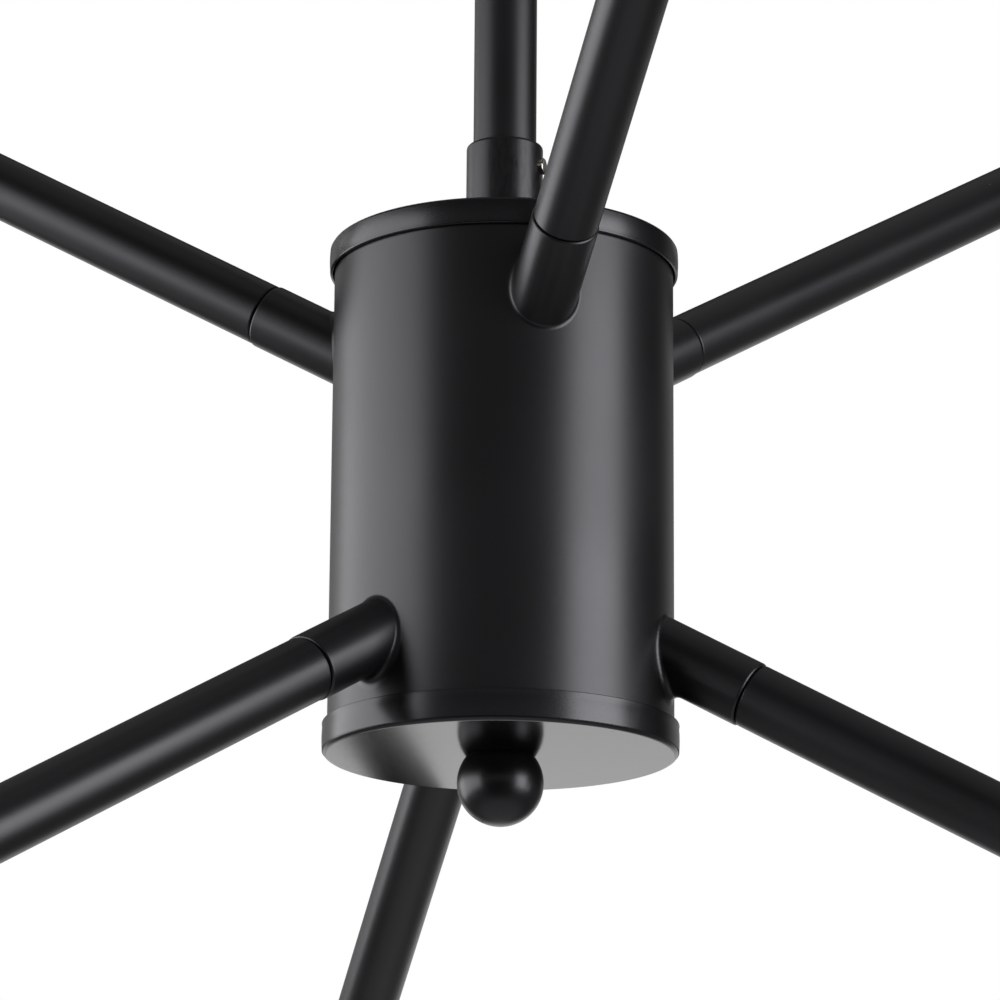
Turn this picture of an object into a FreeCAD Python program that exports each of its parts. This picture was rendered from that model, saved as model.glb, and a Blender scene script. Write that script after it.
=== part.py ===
import FreeCAD, Part
import math
import os

# Six-arm sputnik chandelier on a down rod, in millimetres.
#
# Z points up. The origin is where the ceiling face of the mounting bar meets the
# vertical axis of the fixture, so the whole lamp hangs below Z = 0. The three upper
# arms climb from the hub and the three lower arms dip, turned half a step from them.
#
# Pieces are drawn where they sit. A piece that belongs to an arm is drawn once along
# its own Z axis, starting where the arm's axis crosses the fixture's axis, and is then
# laid along each of the six arms.

Vector = FreeCAD.Vector
Placement = FreeCAD.Placement
Rotation = FreeCAD.Rotation
X_AXIS = Vector(1, 0, 0)
Y_AXIS = Vector(0, 1, 0)
Z_AXIS = Vector(0, 0, 1)

# ---- fits -------------------------------------------------------------------------
THREAD_CLEARANCE = 0.05         # radial, between a thread and the hole that it screws into
LOOSE_CLEARANCE = 0.3           # radial, where a piece passes freely through a hole
FLAT_PLAY = 0.1                 # between two flat faces that turn on each other
EDGE_BREAK = 0.4                # the broken edge of a turned or sawn piece

# ---- ceiling fitting --------------------------------------------------------------
CANOPY_RADIUS = 60.0
CANOPY_DEPTH = 25.0
CANOPY_SHEET = 1.0
CANOPY_CORNER = 4.0             # outside radius where the wall turns into the face
BAR_WIDTH = 22.0
BAR_THICKNESS = 2.5
OUTLET_SLOT_SPACING = 88.9      # between the screws of a ceiling outlet box
OUTLET_SLOT_WIDTH = 5.0
OUTLET_SLOT_LENGTH = 12.0
OUTLET_BAR_END = 5.55           # metal left past a slot
CANOPY_STUD_SPACING = 80.0
CANOPY_BAR_END = 7.0            # metal left past the middle of a stud
CANOPY_STUD_RADIUS = 2.0
CANOPY_STUD_REACH = 6.5         # how far a stud stands below the canopy
RIVET_RADIUS = 4.0
RIVET_HEAD_RADIUS = 6.5
RIVET_HEAD_HEIGHT = 1.5
RIVET_HEAD_ROUND = 1.0
RIVET_FLUSH_HEAD = 1.0          # the flush head, let into the ceiling face
GROUND_SCREW_X = 22.0
GROUND_SCREW_RADIUS = 2.0
GROUND_SCREW_HEAD_RADIUS = 4.2
GROUND_SCREW_HEAD_HEIGHT = 2.4
GROUND_SCREW_HEAD_ROUND = 0.8
GROUND_SCREW_SLOT = 1.0
BALL_NUT_RADIUS = 5.0
BALL_NUT_SEAT_RADIUS = 4.0

# ---- ceiling swivel ---------------------------------------------------------------
DOUBLER_RADIUS = 20.0
DOUBLER_THICKNESS = 2.0
STOP_WIDTH = 3.0                # both the tab on the doubler and the tooth on the washer
STOP_TAB_INNER = 13.0
STOP_TAB_OUTER = 17.0
STOP_TAB_HEIGHT = 3.0
STOP_TOOTH_INNER = 7.0
STOP_TOOTH_OUTER = 16.5
SWIVEL_WASHER_RADIUS = 12.0
SWIVEL_WASHER_THICKNESS = 1.5
SWIVEL_NUT_FLATS = 14.0
SWIVEL_NUT_HEIGHT = 4.0
SWIVEL_NECK_END = 3.0           # thread that stands above the nut
SWIVEL_BALL_RADIUS = 12.0
SWIVEL_BALL_CLEARANCE = 0.1
SWIVEL_CUP_RADIUS = 16.0
SWIVEL_CUP_ROOF = 3.0
SWIVEL_CUP_SHOULDER = 3.0       # outside radius of the cup's upper corner
SWIVEL_CUP_SKIRT = 2.0          # how far the cup reaches below the ball's middle
SWIVEL_RING_DEPTH = 5.8         # visible height of the retaining ring
SWIVEL_RING_ROUND = 0.8
SWIVEL_RING_SPIGOT_RADIUS = 14.0
SWIVEL_RING_SPIGOT = 3.4
SWIVEL_TILT = 30.0              # degrees each way
SWIVEL_TILT_SPARE = 2.4         # degrees the mouth opens past that
SWIVEL_NECK_LENGTH = 16.0       # from the ball's middle to the top of the rod
SWIVEL_NECK_THREAD = 12.0

# ---- down rods --------------------------------------------------------------------
TUBE_RADIUS = 7.5               # rods and arms are cut from the same tube
TUBE_WALL = 1.2
TUBE_INSERT = 14.0              # threaded plug fixed in each end of a tube
ROD_LENGTH = 300.0
PIPE_RADIUS = 5.0               # threaded lamp pipe, used for every joint
PIPE_BORE_RADIUS = 3.4
PIPE_GRIP = 13.0                # thread taken up in each end of a joint

# ---- hub --------------------------------------------------------------------------
HUB_RADIUS = 40.0
HUB_WALL = 1.5
HUB_TUBE_LENGTH = 120.0
CAP_SHEET = 1.0
CAP_CLEARANCE = 0.2             # between a cap's skirt and the hub tube
TOP_CAP_SKIRT = 6.4
TOP_CAP_ROUND = 1.2
BOTTOM_CAP_SKIRT = 7.2
BOTTOM_CAP_ROUND = 1.5
COLLAR_RADIUS = 9.1
COLLAR_HEIGHT = 26.0
COLLAR_WEB = 8.0
COLLAR_ROUND = 0.8
SET_SCREW_RADIUS = 2.0
SET_SCREW_DROP = 5.7            # below the collar's rim
SET_SCREW_AZIMUTH = -19.0
SET_SCREW_STAND = 1.0           # how far its slotted end stands out
SET_SCREW_SLOT_WIDTH = 0.6
SET_SCREW_SLOT_DEPTH = 0.8
PIPE_WINDOW_LENGTH = 34.0       # the slot that lets the wires out of the pipe
PIPE_WINDOW_WIDTH = 5.0
PIPE_WASHER_RADIUS = 11.0
PIPE_WASHER_THICKNESS = 1.5
PIPE_NUT_FLATS = 14.0
PIPE_NUT_HEIGHT = 5.0
FINIAL_RADIUS = 10.0
FINIAL_CENTRE_DROP = 6.2        # from the bottom cap's face to the ball's middle
FINIAL_BORE_DEPTH = 10.0
FINIAL_THREAD = 8.5             # pipe that stands below the bottom cap

# ---- arms -------------------------------------------------------------------------
ARM_INCLINE = 29.0              # degrees above or below the horizontal
ARM_CROSSING = 17.0             # height of the axis crossing above or below mid-hub
ARM_PHASE = 13.5                # degrees the star is turned from square to the front
ARMS_PER_TIER = 3
STUB_RADIUS = 7.75
STUB_REACH = 67.6               # along the arm's axis, from the fixture's axis
STUB_WELD = 1.5                 # fillet where a stub meets the hub tube
STUB_EDGE = 0.5                 # the rounded rim at a stub's end
STUB_ROOT = 20.0                # where a stub starts, inside the tube, before it is bored
ARM_LENGTH = 300.0

# ---- lampholders, along an arm's axis ---------------------------------------------
CUP_RADIUS = 19.0
CUP_SHEET = 1.0
CUP_LENGTH = 50.0
CUP_CORNER = 5.0
CUP_PIPE_THREAD = 8.0
HOLDER_RADIUS = 17.7
HOLDER_RECESS = 2.0             # from the cup's mouth down to the holder's rim
HOLDER_BORE_DEPTH = 30.0
HOLDER_WEB = 3.0                # between the pipe's thread and the contact's pocket
HOLDER_POCKET_RADIUS = 8.7
HOLDER_POCKET_DEPTH = 5.0
SHELL_RADIUS = 13.3             # inside, for a medium screw base
SHELL_WALL = 0.5
SHELL_LENGTH = 26.0
SHELL_CLEARANCE = 0.1
CONTACT_WIDTH = 5.0
CONTACT_SHEET = 0.5
CONTACT_TIP_ROUND = 2.0         # the leaf's two corners at its tip
CONTACT_ROOT_X = 6.6            # the root's distance from the socket's axis
CONTACT_ROOT_RADIUS = 0.6
CONTACT_ROOT_GAP = 0.1          # between the curled root and the pocket's floor
CONTACT_RUN = 9.0               # along the holder's face, root to tip
CONTACT_RISE = 3.6

# ---- lengths and levels worked out from the sizes above -----------------------------
outlet_bar_length = OUTLET_SLOT_SPACING + OUTLET_SLOT_LENGTH + 2 * OUTLET_BAR_END
canopy_bar_length = CANOPY_STUD_SPACING + 2 * CANOPY_BAR_END
canopy_face = -CANOPY_DEPTH
canopy_floor = canopy_face + CANOPY_SHEET
doubler_top = canopy_floor + DOUBLER_THICKNESS
washer_low = doubler_top + FLAT_PLAY
washer_top = washer_low + SWIVEL_WASHER_THICKNESS
swivel_nut_top = washer_top + SWIVEL_NUT_HEIGHT
swivel_neck_top = swivel_nut_top + SWIVEL_NECK_END
swivel_top = canopy_face - LOOSE_CLEARANCE
socket_radius = SWIVEL_BALL_RADIUS + SWIVEL_BALL_CLEARANCE
ball_z = swivel_top - SWIVEL_CUP_ROOF - socket_radius
rod_top = ball_z - SWIVEL_NECK_LENGTH
rod_seam = rod_top - ROD_LENGTH
rod_bottom = rod_seam - ROD_LENGTH
collar_low = rod_bottom - COLLAR_WEB
collar_top = collar_low + COLLAR_HEIGHT
hub_top = collar_low - CAP_SHEET
hub_z = hub_top - HUB_TUBE_LENGTH / 2
hub_bottom = hub_z - HUB_TUBE_LENGTH / 2
bottom_face = hub_bottom - CAP_SHEET
set_screw_z = collar_top - SET_SCREW_DROP
finial_z = bottom_face - FINIAL_CENTRE_DROP
cap_inner = HUB_RADIUS + CAP_CLEARANCE
cap_outer = cap_inner + CAP_SHEET
pipe_hole = PIPE_RADIUS + THREAD_CLEARANCE
pipe_passage = PIPE_RADIUS + LOOSE_CLEARANCE
arm_end = STUB_REACH + ARM_LENGTH
cup_floor = arm_end + CUP_SHEET
cup_mouth = arm_end + CUP_LENGTH
holder_rim = cup_mouth - HOLDER_RECESS
shell_floor = holder_rim - HOLDER_BORE_DEPTH
pocket_floor = shell_floor - HOLDER_POCKET_DEPTH
holder_bore_end = pocket_floor - HOLDER_WEB
shell_outer = SHELL_RADIUS + SHELL_WALL
contact_root = pocket_floor + CONTACT_ROOT_GAP + CONTACT_ROOT_RADIUS


# ---- shapes that come back ---------------------------------------------------------

def disc(radius, low, high):
    """A solid cylinder on the Z axis between two heights."""
    return Part.makeCylinder(radius, high - low, Vector(0, 0, low))


def pipe(outer, inner, low, high):
    """A tube on the Z axis."""
    return disc(outer, low, high).cut(disc(inner, low - 1, high + 1))


def turned(edges):
    """A solid of revolution about Z from the edges of half its section."""
    face = Part.Face(Part.Wire(edges))
    return face.revolve(Vector(0, 0, 0), Z_AXIS, 360)


def line(radius_a, z_a, radius_b, z_b):
    """A straight edge of a half section."""
    return Part.makeLine(Vector(radius_a, 0, z_a), Vector(radius_b, 0, z_b))


def outline(points):
    """Straight edges round a closed half section."""
    closed = points + points[:1]
    return [line(*a, *b) for a, b in zip(closed, closed[1:])]


def rim_edges(shape, radius, z):
    """The circular edges of one radius at one height."""
    def is_rim(edge):
        if not isinstance(edge.Curve, Part.Circle):
            return False
        level = abs(edge.Curve.Center.z - z) < 0.001
        return level and abs(edge.Curve.Radius - radius) < 0.001
    return [edge for edge in shape.Edges if is_rim(edge)]


def round_rim(shape, radius, z, size):
    """Rounds a rim."""
    return shape.makeFillet(size, rim_edges(shape, radius, z))


def bevel_rim(shape, radius, z, size):
    """Bevels a rim."""
    return shape.makeChamfer(size, rim_edges(shape, radius, z))


def hexagon(flats, inner, low, high):
    """A hexagonal nut with a plain bore."""
    corner = flats / math.sqrt(3)
    angles = [math.radians(60 * k) for k in range(7)]
    points = [Vector(corner * math.cos(a), corner * math.sin(a), low) for a in angles]
    body = Part.Face(Part.makePolygon(points)).extrude(Vector(0, 0, high - low))
    return body.cut(disc(inner, low - 1, high + 1))


def stadium(length, width, low, high):
    """A bar along X with round ends."""
    half = length / 2 - width / 2
    body = Part.makeBox(2 * half, width, high - low, Vector(-half, -width / 2, low))
    for x in (-half, half):
        body = body.fuse(Part.makeCylinder(width / 2, high - low, Vector(x, 0, low)))
    return body.removeSplitter()


def plugged_tube(low, high):
    """Tube with a threaded plug fixed in each end, so its bore narrows there."""
    wide = TUBE_RADIUS - TUBE_WALL
    section = outline([(TUBE_RADIUS, low), (TUBE_RADIUS, high), (pipe_hole, high),
                       (pipe_hole, high - TUBE_INSERT), (wide, high - TUBE_INSERT),
                       (wide, low + TUBE_INSERT), (pipe_hole, low + TUBE_INSERT),
                       (pipe_hole, low)])
    tube = turned(section)
    tube = bevel_rim(tube, TUBE_RADIUS, low, EDGE_BREAK)
    return bevel_rim(tube, TUBE_RADIUS, high, EDGE_BREAK)


def group(solids):
    """Several loose solids kept in one node."""
    return Part.makeCompound(solids)


def save(name, shape):
    """Writes one sub-part and says what it is made of."""
    shape.exportStep("parts/" + name + ".step")
    print("%-24s %d solid(s) %12.1f mm3" % (name, len(shape.Solids), shape.Volume))


# ---- ceiling fitting --------------------------------------------------------------

def outlet_box_bar():
    """The bar that two screws hold to the outlet box."""
    bar = stadium(outlet_bar_length, BAR_WIDTH, -BAR_THICKNESS, 0)
    slot = stadium(OUTLET_SLOT_LENGTH, OUTLET_SLOT_WIDTH, -BAR_THICKNESS - 1, 1)
    for side in (-1, 1):
        at = Vector(side * OUTLET_SLOT_SPACING / 2, 0, 0)
        bar = bar.cut(slot.translated(at))
    bar = bar.cut(disc(RIVET_RADIUS + THREAD_CLEARANCE, -BAR_THICKNESS - 1, 1))
    bar = bar.cut(disc(RIVET_HEAD_RADIUS + THREAD_CLEARANCE, -RIVET_FLUSH_HEAD, 1))
    ground = disc(GROUND_SCREW_RADIUS + THREAD_CLEARANCE, -BAR_THICKNESS - 1, 1)
    return bar.cut(ground.translated(Vector(GROUND_SCREW_X, 0, 0)))


def canopy_bar():
    """The crossed bar that carries the canopy's two studs."""
    low = -2 * BAR_THICKNESS
    bar = stadium(canopy_bar_length, BAR_WIDTH, low, -BAR_THICKNESS)
    bar = bar.cut(disc(RIVET_RADIUS + THREAD_CLEARANCE, low - 1, 0))
    stud = disc(CANOPY_STUD_RADIUS + THREAD_CLEARANCE, low - 1, 0)
    for side in (-1, 1):
        bar = bar.cut(stud.translated(Vector(side * CANOPY_STUD_SPACING / 2, 0, 0)))
    bar.rotate(Vector(0, 0, 0), Z_AXIS, 90)
    return bar


def crossbar_rivet():
    """Joins the two bars: flush with the ceiling face, round-headed underneath."""
    low = -2 * BAR_THICKNESS
    rivet = disc(RIVET_HEAD_RADIUS, -RIVET_FLUSH_HEAD, 0)
    rivet = rivet.fuse(disc(RIVET_RADIUS, low, -RIVET_FLUSH_HEAD))
    head = disc(RIVET_HEAD_RADIUS, low - RIVET_HEAD_HEIGHT, low)
    head = round_rim(head, RIVET_HEAD_RADIUS, low - RIVET_HEAD_HEIGHT, RIVET_HEAD_ROUND)
    return rivet.fuse(head)


def ground_screw():
    """The slotted screw for the earth wire, in the outlet bar."""
    low = -BAR_THICKNESS
    head_low = low - GROUND_SCREW_HEAD_HEIGHT
    screw = disc(GROUND_SCREW_RADIUS, low, -EDGE_BREAK)
    head = disc(GROUND_SCREW_HEAD_RADIUS, head_low, low)
    head = round_rim(head, GROUND_SCREW_HEAD_RADIUS, head_low, GROUND_SCREW_HEAD_ROUND)
    slot = Part.makeBox(3 * GROUND_SCREW_HEAD_RADIUS, GROUND_SCREW_SLOT, GROUND_SCREW_SLOT,
                        Vector(-1.5 * GROUND_SCREW_HEAD_RADIUS, -GROUND_SCREW_SLOT / 2, head_low))
    screw = screw.fuse(head).cut(slot)
    return screw.translated(Vector(GROUND_SCREW_X, 0, 0))


def canopy_studs():
    """Two studs screwed into the canopy bar."""
    stud = disc(CANOPY_STUD_RADIUS, canopy_face - CANOPY_STUD_REACH, -BAR_THICKNESS)
    half = CANOPY_STUD_SPACING / 2
    return group([stud.translated(Vector(0, y, 0)) for y in (-half, half)])


def canopy():
    """The drawn cup that hides the outlet box."""
    inner = CANOPY_RADIUS - CANOPY_SHEET
    cup = disc(CANOPY_RADIUS, canopy_face, 0)
    cup = round_rim(cup, CANOPY_RADIUS, canopy_face, CANOPY_CORNER)
    hollow = disc(inner, canopy_floor, 1)
    hollow = round_rim(hollow, inner, canopy_floor, CANOPY_CORNER - CANOPY_SHEET)
    cup = cup.cut(hollow)
    cup = cup.cut(disc(pipe_passage, canopy_face - 1, 0))
    hole = disc(CANOPY_STUD_RADIUS + LOOSE_CLEARANCE, canopy_face - 1, 0)
    for side in (-1, 1):
        cup = cup.cut(hole.translated(Vector(0, side * CANOPY_STUD_SPACING / 2, 0)))
    return cup


def canopy_nuts():
    """Two ball nuts that pull the canopy up to the ceiling."""
    middle = -math.sqrt(BALL_NUT_RADIUS ** 2 - BALL_NUT_SEAT_RADIUS ** 2)
    nut = Part.makeSphere(BALL_NUT_RADIUS, Vector(0, 0, middle))
    nut = nut.cut(disc(2 * BALL_NUT_RADIUS, 0, 2 * BALL_NUT_RADIUS))
    depth = CANOPY_STUD_REACH + FLAT_PLAY
    nut = nut.cut(disc(CANOPY_STUD_RADIUS + THREAD_CLEARANCE, -depth, 1))
    half = CANOPY_STUD_SPACING / 2
    return group([nut.translated(Vector(0, y, canopy_face)) for y in (-half, half)])


def canopy_doubler():
    """The plate inside the canopy that carries the swivel, with its stop tab."""
    plate = pipe(DOUBLER_RADIUS, pipe_passage, canopy_floor, doubler_top)
    tab = Part.makeBox(STOP_TAB_OUTER - STOP_TAB_INNER, STOP_WIDTH, STOP_TAB_HEIGHT,
                       Vector(-STOP_TAB_OUTER, -STOP_WIDTH / 2, doubler_top))
    return plate.fuse(tab).removeSplitter()


# ---- ceiling swivel ---------------------------------------------------------------

def swivel_cup():
    """The round housing over the ball, with the hollow neck that hangs from the canopy."""
    low = ball_z - SWIVEL_CUP_SKIRT
    body = disc(SWIVEL_CUP_RADIUS, low, swivel_top)
    body = round_rim(body, SWIVEL_CUP_RADIUS, swivel_top, SWIVEL_CUP_SHOULDER)
    body = body.fuse(disc(PIPE_RADIUS, swivel_top - 1, swivel_neck_top))
    body = body.cut(Part.makeSphere(socket_radius, Vector(0, 0, ball_z)))
    body = body.cut(disc(socket_radius, low - 1, ball_z))
    spigot_top = low + SWIVEL_RING_SPIGOT + FLAT_PLAY
    body = body.cut(disc(SWIVEL_RING_SPIGOT_RADIUS + THREAD_CLEARANCE, low - 1, spigot_top))
    return body.cut(disc(PIPE_BORE_RADIUS, ball_z, swivel_neck_top + 1))


def swivel_ring():
    """The threaded ring that holds the ball up in its housing."""
    joint = ball_z - SWIVEL_CUP_SKIRT
    low = joint - SWIVEL_RING_DEPTH
    neck_angle = math.degrees(math.asin(PIPE_RADIUS / socket_radius))
    mouth = math.radians(SWIVEL_TILT + neck_angle + SWIVEL_TILT_SPARE)
    ring = disc(SWIVEL_CUP_RADIUS, low, joint)
    ring = round_rim(ring, SWIVEL_CUP_RADIUS, low, SWIVEL_RING_ROUND)
    ring = ring.fuse(disc(SWIVEL_RING_SPIGOT_RADIUS, joint, joint + SWIVEL_RING_SPIGOT))
    ring = ring.cut(Part.makeSphere(socket_radius, Vector(0, 0, ball_z)))
    ring = ring.cut(disc(socket_radius, ball_z, ball_z + SWIVEL_RING_SPIGOT))
    drop = ball_z - low + 1
    cone = Part.makeCone(0, drop * math.tan(mouth), drop, Vector(0, 0, ball_z), -Z_AXIS)
    return ring.cut(cone)


def swivel_washer():
    """Runs on the doubler; its tooth meets the stop tab before the wires twist."""
    washer = pipe(SWIVEL_WASHER_RADIUS, pipe_hole, washer_low, washer_top)
    tooth = Part.makeBox(STOP_TOOTH_OUTER - STOP_TOOTH_INNER, STOP_WIDTH,
                         SWIVEL_WASHER_THICKNESS,
                         Vector(STOP_TOOTH_INNER, -STOP_WIDTH / 2, washer_low))
    return washer.fuse(tooth).removeSplitter()


def swivel_nut():
    return hexagon(SWIVEL_NUT_FLATS, pipe_hole, washer_top, swivel_nut_top)


def swivel_ball():
    """Ball and threaded neck in one piece, drilled through for the wires."""
    ball = Part.makeSphere(SWIVEL_BALL_RADIUS, Vector(0, 0, ball_z))
    ball = ball.fuse(disc(PIPE_RADIUS, rod_top - SWIVEL_NECK_THREAD, ball_z))
    low = rod_top - SWIVEL_NECK_THREAD - 1
    ball = ball.cut(disc(PIPE_BORE_RADIUS, low, ball_z + SWIVEL_BALL_RADIUS + 1))
    flare = Part.makeCone(0, SWIVEL_BALL_RADIUS, SWIVEL_BALL_RADIUS,
                          Vector(0, 0, ball_z + PIPE_RADIUS), Z_AXIS)
    return ball.cut(flare)


# ---- down rods --------------------------------------------------------------------

def rod_nipple():
    return pipe(PIPE_RADIUS, PIPE_BORE_RADIUS, rod_seam - PIPE_GRIP, rod_seam + PIPE_GRIP)


# ---- hub --------------------------------------------------------------------------

def hub_collar():
    """The cup on the hub's lid that takes the end of the down rod."""
    collar = disc(COLLAR_RADIUS, collar_low, collar_top)
    collar = round_rim(collar, COLLAR_RADIUS, collar_top, COLLAR_ROUND)
    socket = TUBE_RADIUS + THREAD_CLEARANCE
    collar = collar.cut(disc(socket, rod_bottom, collar_top + 1))
    collar = collar.cut(disc(pipe_hole, collar_low - 1, rod_bottom + 1))
    hole = Part.makeCylinder(SET_SCREW_RADIUS + THREAD_CLEARANCE, 2 * COLLAR_RADIUS,
                             Vector(0, 0, set_screw_z), X_AXIS)
    hole.rotate(Vector(0, 0, set_screw_z), Z_AXIS, SET_SCREW_AZIMUTH)
    return collar.cut(hole)


def collar_set_screw():
    """The slotted screw that locks the rod in the collar."""
    tip = TUBE_RADIUS + THREAD_CLEARANCE + FLAT_PLAY
    end = COLLAR_RADIUS + SET_SCREW_STAND
    screw = Part.makeCylinder(SET_SCREW_RADIUS, end - tip, Vector(tip, 0, set_screw_z), X_AXIS)
    outer = [edge for edge in screw.Edges if edge.BoundBox.XMin > end - 0.001]
    screw = screw.makeFillet(EDGE_BREAK, outer)
    slot = Part.makeBox(SET_SCREW_SLOT_DEPTH + 1, SET_SCREW_SLOT_WIDTH, 4 * SET_SCREW_RADIUS,
                        Vector(end - SET_SCREW_SLOT_DEPTH, -SET_SCREW_SLOT_WIDTH / 2,
                               set_screw_z - 2 * SET_SCREW_RADIUS))
    screw = screw.cut(slot)
    screw.rotate(Vector(0, 0, 0), Z_AXIS, SET_SCREW_AZIMUTH)
    return screw


def centre_pipe():
    """The threaded pipe that clamps the hub between its two caps."""
    low = bottom_face - FINIAL_THREAD
    shape = pipe(PIPE_RADIUS, PIPE_BORE_RADIUS, low, rod_bottom + PIPE_GRIP)
    window = Part.makeBox(2 * PIPE_RADIUS, PIPE_WINDOW_WIDTH, PIPE_WINDOW_LENGTH,
                          Vector(0, -PIPE_WINDOW_WIDTH / 2, hub_z - PIPE_WINDOW_LENGTH / 2))
    return shape.cut(window)


def pipe_washer():
    return pipe(PIPE_WASHER_RADIUS, pipe_hole, hub_top - PIPE_WASHER_THICKNESS, hub_top)


def pipe_nut():
    high = hub_top - PIPE_WASHER_THICKNESS
    return hexagon(PIPE_NUT_FLATS, pipe_hole, high - PIPE_NUT_HEIGHT, high)


def cap(skirt, face_round):
    """A pressed lid, face up: its skirt hangs round the hub tube. The face is at Z = 0."""
    shell = disc(cap_outer, -skirt, 0)
    shell = round_rim(shell, cap_outer, 0, face_round)
    shell = round_rim(shell, cap_outer, -skirt, EDGE_BREAK)
    hollow = disc(cap_inner, -skirt - 1, -CAP_SHEET)
    return shell.cut(hollow).cut(disc(pipe_passage, -skirt, 1))


def top_cap():
    return cap(TOP_CAP_SKIRT, TOP_CAP_ROUND).translated(Vector(0, 0, collar_low))


def bottom_cap():
    lid = cap(BOTTOM_CAP_SKIRT, BOTTOM_CAP_ROUND)
    lid.rotate(Vector(0, 0, 0), X_AXIS, 180)
    return lid.translated(Vector(0, 0, bottom_face))


def finial():
    """The ball nut under the hub, cut flat where it bears on the bottom cap."""
    ball = Part.makeSphere(FINIAL_RADIUS, Vector(0, 0, finial_z))
    ball = ball.cut(disc(2 * FINIAL_RADIUS, bottom_face, bottom_face + 2 * FINIAL_RADIUS))
    return ball.cut(disc(pipe_hole, bottom_face - FINIAL_BORE_DEPTH, bottom_face + 1))


def arm_places():
    """Name and placement of each arm's own axis, upper tier first."""
    step = 360.0 / ARMS_PER_TIER
    tiers = (("upper", 1, -90.0), ("lower", -1, -90.0 - step / 2))
    for tier, side, start in tiers:
        for k in range(ARMS_PER_TIER):
            azimuth = start + ARM_PHASE + step * k
            turn = Rotation(Z_AXIS, azimuth) * Rotation(Y_AXIS, 90 - side * ARM_INCLINE)
            place = Placement(Vector(0, 0, hub_z + side * ARM_CROSSING), turn)
            yield "%s_%d" % (tier, k + 1), place


def along(shape, place):
    """A copy of a shape, laid along one arm."""
    copy = shape.copy()
    copy.transformShape(place.toMatrix(), True)
    return copy


def hub_body():
    """The hub tube with its six welded stubs, tapped for the arms."""
    body = disc(HUB_RADIUS, hub_bottom, hub_top)
    stub = disc(STUB_RADIUS, STUB_ROOT, STUB_REACH)
    for name, place in arm_places():
        body = body.fuse(along(stub, place))

    def is_weld(edge):
        points = edge.discretize(5)
        on_tube = all(abs(math.hypot(p.x, p.y) - HUB_RADIUS) < 0.01 for p in points)
        flat = edge.BoundBox.ZLength < 0.01
        straight = isinstance(edge.Curve, Part.Line)
        return on_tube and not flat and not straight

    def is_stub_end(edge):
        round_edge = isinstance(edge.Curve, Part.Circle)
        return round_edge and abs(edge.Curve.Radius - STUB_RADIUS) < 0.001

    body = body.makeFillet(STUB_WELD, [edge for edge in body.Edges if is_weld(edge)])
    body = body.makeFillet(STUB_EDGE, [edge for edge in body.Edges if is_stub_end(edge)])
    body = body.cut(disc(HUB_RADIUS - HUB_WALL, hub_bottom - 1, hub_top + 1))
    tapping = disc(pipe_hole, STUB_ROOT, STUB_REACH + 1)
    for name, place in arm_places():
        body = body.cut(along(tapping, place))
    return body


# ---- lampholder pieces, each along an arm's axis ------------------------------------

def socket_cup():
    """The plain metal cup at the end of an arm."""
    inner = CUP_RADIUS - CUP_SHEET
    cup = disc(CUP_RADIUS, arm_end, cup_mouth)
    cup = round_rim(cup, CUP_RADIUS, arm_end, CUP_CORNER)
    hollow = disc(inner, cup_floor, cup_mouth + 1)
    hollow = bevel_rim(hollow, inner, cup_floor, CUP_CORNER - CUP_SHEET)
    return cup.cut(hollow).cut(disc(pipe_hole, arm_end - 1, cup_floor + 1))


def lampholder():
    """The moulded insulator that fills the cup and carries the screw shell."""
    body = disc(HOLDER_RADIUS, cup_floor, holder_rim)
    body = bevel_rim(body, HOLDER_RADIUS, cup_floor, CUP_CORNER - CUP_SHEET)
    body = body.cut(disc(pipe_hole, cup_floor - 1, holder_bore_end))
    body = body.cut(disc(HOLDER_POCKET_RADIUS, pocket_floor, shell_floor + 1))
    return body.cut(disc(shell_outer + SHELL_CLEARANCE, shell_floor, holder_rim + 1))


def screw_shell():
    """The metal shell that a lamp screws into."""
    shell = disc(shell_outer, shell_floor, shell_floor + SHELL_LENGTH)
    shell = shell.cut(disc(SHELL_RADIUS, shell_floor + SHELL_WALL, cup_mouth))
    return shell.cut(disc(HOLDER_POCKET_RADIUS, shell_floor - 1, cup_mouth))


def centre_contact():
    """The sprung leaf under a lamp's tip, curled at its root."""
    slope = math.atan2(CONTACT_RISE, CONTACT_RUN)
    length = math.hypot(CONTACT_RISE, CONTACT_RUN)
    half = CONTACT_WIDTH / 2
    leaf = Part.makeBox(length, CONTACT_WIDTH, CONTACT_SHEET,
                        Vector(0, -half, -CONTACT_SHEET / 2))
    tip = [edge for edge in leaf.Edges
           if edge.BoundBox.XMin > length - 0.001 and edge.BoundBox.YLength < 0.001]
    leaf = leaf.makeFillet(CONTACT_TIP_ROUND, tip)
    root = Part.makeCylinder(CONTACT_ROOT_RADIUS, CONTACT_WIDTH, Vector(0, -half, 0), Y_AXIS)
    leaf = leaf.fuse(root)
    leaf.rotate(Vector(0, 0, 0), Y_AXIS, -math.degrees(slope))
    return leaf.translated(Vector(-CONTACT_ROOT_X, 0, contact_root))


def arm_joint(at, reach):
    """A piece of threaded pipe across a joint, gripping the arm on one side."""
    return pipe(PIPE_RADIUS, PIPE_BORE_RADIUS, at, reach)


os.makedirs("parts", exist_ok=True)

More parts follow.
